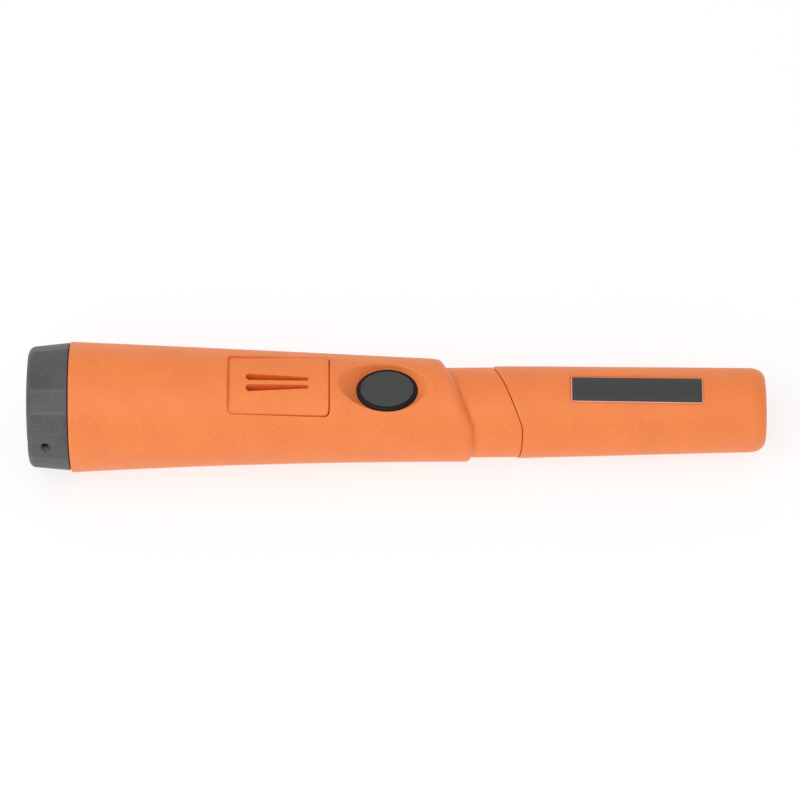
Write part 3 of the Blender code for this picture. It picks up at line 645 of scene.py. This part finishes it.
def make_cover():
    angles = shell_angles(15.0, LABEL_HOLE_SIDE, 1.25)
    shell = Shell(len(angles))
    for station, inset in ((0.2270, COVER_WALL + 0.0015), (0.2255, COVER_WALL),
                           (0.190, COVER_WALL), (0.157, COVER_WALL)):
        shell.add_row(probe_points(station, cover_radius(station) - inset, angles))
    inner = COVER_RADIUS[0] - COVER_WALL
    shell.add_row(probe_points(COVER_STATION + 0.0004, inner, angles, slant=SLANT))
    shell.add_row(probe_points(COVER_STATION, inner + 0.0003, angles, slant=SLANT))
    rear = 0.00022
    for sine, cosine in quarter(4):
        shell.add_row(probe_points(COVER_STATION + rear * (1 - cosine),
                                   COVER_RADIUS[0] - rear * (1 - sine), angles, slant=SLANT))
    label_ends = [LABEL_CENTRE[0] + side * (LABEL_SIZE[0] / 2 + LABEL_MARGIN + 0.0012)
                  for side in (-1, 1)]
    for share, station in ((0.8, 0.1515), (0.5, 0.1545), (0.2, 0.1580)):
        shell.add_row(probe_points(station, cover_radius(station), angles, slant=SLANT * share))
    marks = []
    for station in spaced((0.1615, 0.0015), (label_ends[0], 0.0004),
                          (label_ends[0] + 0.002, 0.0012), (label_ends[1] - 0.002, 0.0004),
                          (label_ends[1], 0.0015), (COVER_FRONT, 1.0)):
        if min(abs(station - end) for end in label_ends) < 1e-7:
            marks.append(len(shell.rows))
        shell.add_row(probe_points(station, cover_radius(station), angles))
    for sine, cosine in quarter(9)[1:]:
        station = COVER_FRONT + COVER_NOSE[0] * sine
        radius = cover_radius(station) - COVER_NOSE[1] * (1 - cosine)
        shell.add_row(probe_points(station, radius, angles))
    for reach in (0.0080, 0.0060, 0.0040, 0.0020):
        bulge = 0.0004 * (1 - (reach / 0.0095) ** 2)
        shell.add_row(probe_points(LENGTH - 0.0004 + bulge, reach, angles))
    hole = (*marks, column_at(angles, -LABEL_HOLE_SIDE), column_at(angles, LABEL_HOLE_SIDE))
    shell.seal((hole,))
    loop = shell.rim(hole)
    box = RoundedBox(LABEL_CENTRE, [side + 2 * LABEL_MARGIN for side in LABEL_SIZE],
                     0.0006 + LABEL_MARGIN, shell.rim_plan(loop), LABEL_TURN)
    rings = []
    plan = box.outline(0.0004)
    rings.append(raised(plan, cover_surface(plan)))
    lip = 0.00012
    for sine, cosine in quarter(3):
        plan = box.outline(lip * (1 - sine))
        rings.append(raised(plan, cover_surface(plan) - lip * (1 - cosine)))
    floor = -0.0009
    for offset, depth in ((0.0, 0.00035), (-0.0001, LABEL_DEPTH), (floor, LABEL_DEPTH)):
        plan = box.outline(offset)
        rings.append(raised(plan, cover_surface(plan) - depth))
    for share in (0.8, 0.6, 0.4, 0.2):
        plan = box.outline(floor, share)
        rings.append(raised(plan, cover_surface(plan) - LABEL_DEPTH))
    shell.fill(loop, rings)
    return shell.build("cover_sleeve", sharp=60)


def make_label(name, grow, top, bottom):
    """A layer of the label, bent over the cover's crown."""
    turn = Matrix.Rotation(LABEL_TURN, 2)

    def over(depth):
        return lambda plan: cover_surface(plan @ np.array(turn).T + np.array(LABEL_CENTRE)) - depth
    piece = pad(name, (LABEL_SIZE[0] + 2 * grow, LABEL_SIZE[1] + 2 * grow), 0.0004 + grow,
                over(top), over(bottom), edge=0.00004)
    piece.data.transform(Matrix.Translation((CAP_END + LABEL_CENTRE[0], LABEL_CENTRE[1], 0)) @
                         Matrix.Rotation(LABEL_TURN, 4, 'Z'))
    return piece


# ---------------------------------------------------------------- panel and button

def panel_face(plan):
    return np.sqrt(PANEL_ARC ** 2 - plan[:, 1] ** 2) - PANEL_ARC + PANEL_RISE


def slot_cutter(side):
    """A tapered slot through the panel, with drafted walls and a rounded lip."""
    wide, narrow = SLOT_RADIUS
    inner_edge = SLOT_GAP / 2
    rear = SLOT_ENDS[0] + wide - PANEL_CENTRE
    front = SLOT_ENDS[1] - narrow - PANEL_CENTRE
    sink = math.asin((wide - narrow) / (front - rear))
    lip = 0.00015
    profile = [(-0.0002, -0.0048), (-0.00012, -0.0024), (-0.00005, -0.0008), (0.0, -lip)]
    profile += [(lip * (1 - cosine), -lip * (1 - sine)) for sine, cosine in quarter(4)]
    profile.append((0.00016, 0.0015))
    steps = 16
    ends = ((front, narrow, -math.pi / 2 + sink, math.pi - 2 * sink),
            (rear, wide, math.pi / 2 - sink, math.pi + 2 * sink))
    cutter = Shell(2 * (steps + 1))
    for offset, height in profile:
        ring = []
        for centre, radius, begin, sweep in ends:
            for index in range(steps + 1):
                turn = begin + sweep * index / steps
                x = centre + (radius + offset) * math.cos(turn)
                y = side * (inner_edge + radius) + (radius + offset) * math.sin(turn)
                ring.append((x, y))
        plan = np.array(ring)
        cutter.add_row(np.column_stack([plan, panel_face(plan) + height]))
    cutter.seal()
    return cutter.build("slot_cutter")


def make_panel():
    size = [side - 2 * PANEL_GROOVE for side in PANEL_SIZE]
    panel = pad("panel_insert", size, PANEL_CORNER - PANEL_GROOVE, panel_face,
                lambda plan: np.full(len(plan), PANEL_SEAT + 0.0001), edge=0.00025, sharp=40)
    for side in (-1, 1):
        cut(panel, slot_cutter(side), sharp=40)
    seat = Matrix.Translation((CAP_END + PANEL_CENTRE - PANEL_RISE * math.sin(PANEL_TILT), 0,
                               float(handle_height(PANEL_CENTRE))))
    panel.data.transform(seat @ Matrix.Rotation(PANEL_TILT, 4, 'Y'))
    return panel


def make_button():
    """Rubber button: skirt, tapered flank, flat face with a faint raised ring and power mark."""
    sides = 160
    turn = 2 * np.pi * np.arange(sides) / sides
    way = np.stack([np.cos(turn), np.sin(turn)], axis=1)
    centre = np.array([BUTTON_STATION, 0.0])
    base = np.array(BUTTON_BASE)
    face = np.array(BUTTON_FACE)
    rise = BUTTON_TOP - BUTTON_FLOOR
    skirt_foot = 0.0276
    draw = 0.0001
    edge = 0.00012
    profile = [(base - draw, skirt_foot), (base, BUTTON_FLOOR - 0.0002), (base, BUTTON_FLOOR),
               (base - draw, BUTTON_FLOOR + edge)]
    shoulder = 0.00035
    for share in (0.25, 0.5, 0.75):
        side = base - draw + (face + shoulder - base) * share
        profile.append((side, BUTTON_FLOOR + edge + (rise - edge - shoulder) * share))
    for sine, cosine in quarter(5):
        profile.append((face + shoulder * cosine * 0.8, BUTTON_TOP - shoulder * (1 - sine)))
    shell = Shell(sides)
    stem = centre + way * 0.0025
    shell.add_row(raised(stem, 0.0229))
    shell.add_row(raised(stem, skirt_foot))
    for axes, height in profile:
        shell.add_row(raised(centre + way * axes, height))
    for share in spaced((0.965, 0.012), (0.02, 1.0)):
        plan = centre + way * face * share
        shell.add_row(raised(plan, BUTTON_TOP + face_relief(plan - centre)))
    shell.seal()
    return shell.build("button_boot", sharp=60)


def face_relief(local):
    """Height of the ring and the power mark moulded on the button's face."""
    reach = np.linalg.norm(local, axis=1)
    turn = np.degrees(np.arctan2(local[:, 0], local[:, 1]))

    def ridge(distance, width):
        return RELIEF * np.clip(1 - (np.abs(distance) / width) ** 2, 0, 1)
    ring = ridge(reach - RING_REACH, 0.00022)
    arc = ridge(reach - ARC_REACH, 0.00024) * (np.abs(turn) > ARC_GAP)
    bar = ridge(local[:, 0], 0.00024) * (local[:, 1] > 0.0008) * (local[:, 1] < 0.0031)
    return ring + arc + bar


# ---------------------------------------------------------------- battery cap

def scallop(angles, depth):
    """How far the grip is cut in at each angle, as five wide hollows between lands."""
    pitch = 360 / SCALLOPS
    from_land = np.abs((angles - FIRST_LAND + pitch / 2) % pitch - pitch / 2)
    share = np.clip((pitch / 2 - from_land) / (pitch / 2 - LAND_HALF_WIDTH), 0, 1)
    return np.where(from_land > LAND_HALF_WIDTH, depth * (1 - share ** 2), 0.0)


def mark_crests(cap, height):
    """Mark the crests between the scallops and their lands, as a 0 to 1 value on each point, for a
    polished finish and a painted highlight.
    """
    crests = cap.data.attributes.new("crest", 'FLOAT', 'POINT')
    pitch = 360 / SCALLOPS
    for vertex, crest in zip(cap.data.vertices, crests.data):
        station = vertex.co.x - CAP_END
        angle = math.degrees(math.atan2(-vertex.co.y, vertex.co.z - height))
        from_land = abs((angle - FIRST_LAND + pitch / 2) % pitch - pitch / 2)
        if 0.0006 < station < HANDLE_START:
            crest.value = math.exp(-((from_land - LAND_HALF_WIDTH + 0.8) / 1.5) ** 2)


def make_cap():
    angles = np.arange(240) * 1.5 + FIRST_LAND
    height = float(handle_height(HANDLE_START))
    face = HANDLE_START - 0.0003
    shell = Shell(len(angles))

    def row(station, radius, depth=0.0, thread=False):
        radii = radius - scallop(angles, depth)
        if thread:
            radii = radii + thread_height(station, angles, *THREAD)
        shell.add_row(around(station, radii, height, angles))

    for station, radius in ((0.0093, 0.0098), (0.0090, 0.0103), (0.0026, 0.0105),
                            (0.0026, 0.0148), (SPIGOT_END - 0.0003, 0.0151),
                            (SPIGOT_END, 0.0154), (SPIGOT_END, 0.0167)):
        row(station, radius)
    for station in reversed(spaced((0.0152, 0.00015), (SPIGOT_END - 0.0004, 1.0))):
        row(station, SPIGOT_RADIUS, thread=True)
    for station, radius in ((0.0150, 0.0171), (0.0150, 0.0163), (0.0149, 0.0162),
                            (0.0133, 0.0162), (0.0132, 0.0163), (0.0132, 0.0172),
                            (face, 0.0172)):
        row(station, radius)
    edge = 0.00022
    for sine, cosine in quarter(3):
        row(face - edge * (1 - cosine), CAP_RADIUS[1] - edge * (1 - sine), SCALLOP_DEPTH)
    for station in reversed(spaced((0.0030, 0.0009), (0.0115, 1.0))):
        share = (station - CAP_CORNER) / (face - CAP_CORNER)
        row(station, between(CAP_RADIUS, share), SCALLOP_DEPTH)
    for sine, cosine in quarter(9):
        depth = SCALLOP_DEPTH * (1 - 0.55 * sine ** 2)
        row(CAP_CORNER * (1 - sine), CAP_RADIUS[0] - CAP_CORNER * (1 - cosine), depth)
    for radius, share in ((0.0150, 0.25), (0.0120, 0.1), (0.0080, 0.0), (0.0040, 0.0)):
        row(0.0, radius, SCALLOP_DEPTH * share)
    shell.seal()
    cap = shell.build("cap_grip", sharp=45)
    mark_crests(cap, height)
    turn = math.radians(LANYARD_ANGLE)
    outward = Vector((0, -math.sin(turn), math.cos(turn)))
    axis = Vector((CAP_END, 0, height))
    side = axis + Vector((LANYARD_STATION, 0, 0))
    cut(cap, drill(side, outward, 0.0150, 0.0212, 0.01795), 45)
    back = Vector((-1, 0, 0))
    cut(cap, drill(axis + outward * LANYARD_REACH, back, -0.0066, 0.0012, -0.0002), 45)
    return cap


def drill(origin, way, low, high, mouth):
    """A round cutter with a countersunk mouth, along a direction from its origin."""
    profile = [(low, LANYARD_RADIUS), (mouth - 0.0005, LANYARD_RADIUS),
               (mouth + 0.0001, LANYARD_RADIUS + 0.0005), (high, LANYARD_RADIUS + 0.0016)]
    side = way.orthogonal().normalized()
    other = way.cross(side)
    sides = 32
    cutter = Shell(sides)
    for along, radius in profile:
        ring = []
        for index in range(sides):
            turn = 2 * math.pi * index / sides
            ring.append(origin + way * along +
                        (side * math.cos(turn) + other * math.sin(turn)) * radius)
        cutter.add_row(ring)
    cutter.seal()
    return cutter.build("drill")


# ---------------------------------------------------------------- materials

def srgb(red, green, blue):
    def linear(value):
        share = value / 255
        return share / 12.92 if share <= 0.04045 else ((share + 0.055) / 1.055) ** 2.4
    return (linear(red), linear(green), linear(blue), 1.0)


def shaded(colour, factor):
    return tuple(min(value * factor, 1.0) for value in colour[:3]) + (1.0,)


def noise(nodes, links, place, scale, detail):
    texture = nodes.new("ShaderNodeTexNoise")
    texture.inputs["Scale"].default_value = scale
    texture.inputs["Detail"].default_value = detail
    links.new(place, texture.inputs["Vector"])
    return texture.outputs["Fac"]


def spread(nodes, links, value, low, high):
    """Map a noise value to a range."""
    mapped = nodes.new("ShaderNodeMapRange")
    mapped.inputs["From Min"].default_value = 0.3
    mapped.inputs["From Max"].default_value = 0.7
    mapped.inputs["To Min"].default_value = low
    mapped.inputs["To Max"].default_value = high
    links.new(value, mapped.inputs["Value"])
    return mapped.outputs["Result"]


def mixed(nodes, links, factor, first, second, kind='RGBA'):
    """Mix two colours or values by a factor; each is a constant or another node's output."""
    mix = nodes.new("ShaderNodeMix")
    mix.data_type = kind
    for name, value in (("Factor", factor), ("A", first), ("B", second)):
        if isinstance(value, bpy.types.NodeSocket):
            links.new(value, mix.inputs[name])
        else:
            mix.inputs[name].default_value = value
    return mix.outputs["Result"]


def surface(name, colour, roughness=0.5, metallic=0.0, grain=2600, bump=0.3, depth=0.00004,
            vary=0.05, cloud=70, stretch=(1, 1, 1), edge_wear_and_highlight=0.0, specular=0.5, polish_and_highlight=None):
    """A moulded, drawn or cast surface: clouded colour, fine grain, bump, and pointed edges
    lightened as worn plastic and as a painted highlight.
    """
    material = bpy.data.materials.new(name)
    material.use_nodes = True
    nodes = material.node_tree.nodes
    links = material.node_tree.links
    shader = nodes["Principled BSDF"]
    coordinates = nodes.new("ShaderNodeTexCoord")
    mapping = nodes.new("ShaderNodeMapping")
    mapping.inputs["Scale"].default_value = stretch
    links.new(coordinates.outputs["Object"], mapping.inputs["Vector"])
    place = mapping.outputs["Vector"]
    fine = noise(nodes, links, place, grain, 3.0)
    broad = noise(nodes, links, place, cloud, 2.0)
    both = nodes.new("ShaderNodeMath")
    both.operation = 'ADD'
    links.new(spread(nodes, links, fine, 0.0, 0.6), both.inputs[0])
    links.new(spread(nodes, links, broad, 0.0, 0.4), both.inputs[1])
    painted = mixed(nodes, links, both.outputs[0], shaded(colour, 1 - vary),
                    shaded(colour, 1 + vary))
    # Pointed edges get a lighter colour: partly worn plastic, partly a painted edge highlight.
    if edge_wear_and_highlight:
        geometry = nodes.new("ShaderNodeNewGeometry")
        worn_and_lit_edges = nodes.new("ShaderNodeMapRange")
        worn_and_lit_edges.inputs["From Min"].default_value = 0.52
        worn_and_lit_edges.inputs["From Max"].default_value = 0.60
        worn_and_lit_edges.inputs["To Max"].default_value = edge_wear_and_highlight
        links.new(geometry.outputs["Pointiness"], worn_and_lit_edges.inputs["Value"])
        painted = mixed(nodes, links, worn_and_lit_edges.outputs["Result"], painted,
                        shaded(colour, 1.0 + 1.5 * edge_wear_and_highlight))
    dull = spread(nodes, links, fine, roughness - 0.05, roughness + 0.05)
    # Crests get a lower roughness, as polished plastic, and a lighter colour, which is a painted
    # highlight.
    if polish_and_highlight:
        mask = nodes.new("ShaderNodeAttribute")
        mask.attribute_name = polish_and_highlight
        polished = 0.3
        dull = mixed(nodes, links, mask.outputs["Fac"], dull, polished, 'FLOAT')
        painted = mixed(nodes, links, mask.outputs["Fac"], painted, shaded(colour, 1.12))
    links.new(painted, shader.inputs["Base Color"])
    links.new(dull, shader.inputs["Roughness"])
    relief = nodes.new("ShaderNodeBump")
    relief.inputs["Strength"].default_value = bump
    relief.inputs["Distance"].default_value = depth
    links.new(fine, relief.inputs["Height"])
    links.new(relief.outputs["Normal"], shader.inputs["Normal"])
    shader.inputs["Metallic"].default_value = metallic
    shader.inputs["Specular IOR Level"].default_value = specular
    return material


def clear_surface(name):
    """Polished clear plastic with faint moulding swirls."""
    material = surface(name, srgb(238, 243, 248), 0.08, grain=900, bump=0.1, depth=0.00001)
    material.node_tree.nodes["Principled BSDF"].inputs["Transmission Weight"].default_value = 0.85
    return material


def paint(piece, material):
    piece.data.materials.clear()
    piece.data.materials.append(material)


# ---------------------------------------------------------------- studio

def make_studio():
    """White sweep lit from all round, with a soft key from above the cap's end."""
    bpy.ops.mesh.primitive_plane_add(size=6.0, location=(0, 0, 0))
    floor = bpy.context.object
    floor.name = "studio_floor"
    material = bpy.data.materials.new("studio_floor")
    material.use_nodes = True
    shader = material.node_tree.nodes["Principled BSDF"]
    shader.inputs["Base Color"].default_value = (FLOOR_GREY, FLOOR_GREY, FLOOR_GREY, 1.0)
    shader.inputs["Roughness"].default_value = 0.9
    shader.inputs["Emission Color"].default_value = (1.0, 1.0, 1.0, 1.0)
    shader.inputs["Emission Strength"].default_value = FLOOR_GLOW
    paint(floor, material)
    world = bpy.data.worlds.new("studio")
    bpy.context.scene.world = world
    world.use_nodes = True
    background = world.node_tree.nodes["Background"]
    background.inputs["Color"].default_value = (1.0, 1.0, 1.0, 1.0)
    background.inputs["Strength"].default_value = ROOM_LIGHT
    add_light("key", (-0.55, -0.5, 1.2), (1.2, 1.2), 8.0)


def add_light(name, place, size, power):
    light = bpy.data.lights.new(name, 'AREA')
    light.shape = 'RECTANGLE'
    light.size = size[0]
    light.size_y = size[1]
    light.energy = power
    lamp = bpy.data.objects.new(name, light)
    bpy.context.scene.collection.objects.link(lamp)
    lamp.location = place
    aim = Vector((0, 0, 0.015)) - Vector(place)
    lamp.rotation_euler = aim.to_track_quat('-Z', 'Y').to_euler()


def make_camera():
    """Long lens from above the near side, level with the probe but for a slight roll."""
    elevation = math.radians(61)
    distance = 1.6
    view_width = 0.2493
    data = bpy.data.cameras.new("camera")
    data.sensor_width = 36
    data.lens = data.sensor_width * distance / view_width
    camera = bpy.data.objects.new("camera", data)
    bpy.context.scene.collection.objects.link(camera)
    toward = Vector((0, -math.cos(elevation), math.sin(elevation)))
    up = Vector((0, math.sin(elevation), math.cos(elevation)))
    target = Vector((0.0005, 0, PROBE_HEIGHT)) + up * 0.0041
    camera.location = target + toward * distance
    level = (-toward).to_track_quat('-Z', 'Y').to_matrix().to_4x4()
    camera.rotation_euler = (level @ Matrix.Rotation(math.radians(-0.5), 4, 'Z')).to_euler()
    bpy.context.scene.camera = camera


# ---------------------------------------------------------------- the whole

def place(piece, body, slot, material, *nodes):
    paint(piece, material)
    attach(piece, body)
    if nodes:
        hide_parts(*nodes)


ORANGE = srgb(253, 134, 66)
# Lighter pointed edges on the orange: worn plastic and a painted edge highlight.
orange = surface("orange_moulding", ORANGE, 0.48, grain=1300, bump=1.0, vary=0.12, edge_wear_and_highlight=0.10)
# Cap crests: polished, and lighter as a painted highlight.
grey = surface("grey_moulding", srgb(82, 82, 82), 0.50, grain=1400, bump=0.8, vary=0.40,
               polish_and_highlight="crest")
rubber = surface("button_rubber", srgb(60, 62, 62), 0.62, grain=3200, bump=0.2, vary=0.06)
# Darker copy of the button rubber for the sloping sides: painted shade.
flank = surface("button_flank_painted_shade", srgb(38, 35, 40), 0.55, grain=3200, bump=0.1, vary=0.06,
                specular=0.15)
film = surface("label_film", srgb(58, 58, 58), 0.4, grain=1500, bump=0.05, vary=0.05)
card = surface("label_card", srgb(246, 196, 180), 0.5, grain=2500, bump=0.1, vary=0.03)

make_studio()
make_camera()
place(make_housing(), "housing", "orange_plastic", orange, "main_housing")
place(make_panel(), "housing", "orange_plastic", orange, "speaker_panel")
button = make_button()
place(button, "button", "button_rubber", rubber, "button_cap")
button.data.materials.append(flank)
# Faces pointing up keep the button rubber; the sloping sides take the darker copy, which is
# painted shade.
for polygon in button.data.polygons:
    on_face = polygon.normal.z > 0.95 and polygon.center.z > BUTTON_FLOOR
    polygon.material_index = 0 if on_face else 1
place(make_cover(), "wear_cover", "orange_plastic", orange, "wear_cover")
place(make_label("label_film", 0.0, 0.0, 0.0002), "wear_cover", "label", film, "nameplate_label")
place(make_label("label_backing", 0.00022, 0.00022, 0.0004), "wear_cover", "label", card)
place(make_cap(), "battery_cap", "grey_plastic", grey, "battery_cap")

INNER = {
    "membrane": surface("inner_membrane", srgb(226, 90, 45), 0.6, grain=1800, bump=0.2),
    "seal_rubber": surface("seal_rubber", srgb(26, 26, 27), 0.55, grain=2500, bump=0.2, vary=0.1),
    "black_plastic": surface("black_plastic", srgb(32, 32, 34), 0.45, grain=1800, bump=0.3,
                             vary=0.12),
    "battery_case": surface("battery_jacket", srgb(36, 36, 40), 0.35, 0.3, grain=900, bump=0.1,
                            vary=0.1),
    "white_plastic": surface("white_plastic", srgb(222, 220, 212), 0.45, grain=1800, bump=0.2),
    "circuit_board": surface("solder_mask", srgb(24, 92, 52), 0.35, grain=1200, bump=0.4,
                             vary=0.18, cloud=400),
    "foam": surface("foam", srgb(58, 58, 60), 0.9, grain=1500, bump=0.9, depth=0.0002, vary=0.25),
    "steel": surface("steel", srgb(190, 190, 192), 0.28, 1.0, grain=600, bump=0.1, vary=0.06,
                     stretch=(1, 8, 1)),
    "brass": surface("brass", srgb(205, 170, 95), 0.28, 1.0, grain=700, bump=0.1, vary=0.06),
    "copper_winding": surface("copper_winding", srgb(190, 105, 62), 0.35, 0.9, grain=500,
                              bump=0.8, depth=0.0001, vary=0.2, stretch=(8, 1, 1)),
    "ferrite": surface("ferrite", srgb(52, 50, 50), 0.6, grain=1600, bump=0.5, vary=0.15),
    "clear_lens": clear_surface("clear_lens"),
    "red_plastic": surface("red_plastic", srgb(190, 28, 24), 0.4, grain=1500, bump=0.1),
    "black_wire": surface("black_wire", srgb(22, 22, 22), 0.4, grain=1500, bump=0.1),
    "blue_plastic": surface("blue_plastic", srgb(30, 70, 165), 0.4, grain=1500, bump=0.1),
    "yellow_wire": surface("yellow_wire", srgb(225, 185, 40), 0.4, grain=1500, bump=0.1),
}
for subpart in frame["record"]["subparts"]:
    if subpart["material_slot"] in INNER:
        paint(frame["nodes"][subpart["node"]], INNER[subpart["material_slot"]])

bpy.context.scene.view_settings.view_transform = 'Standard'
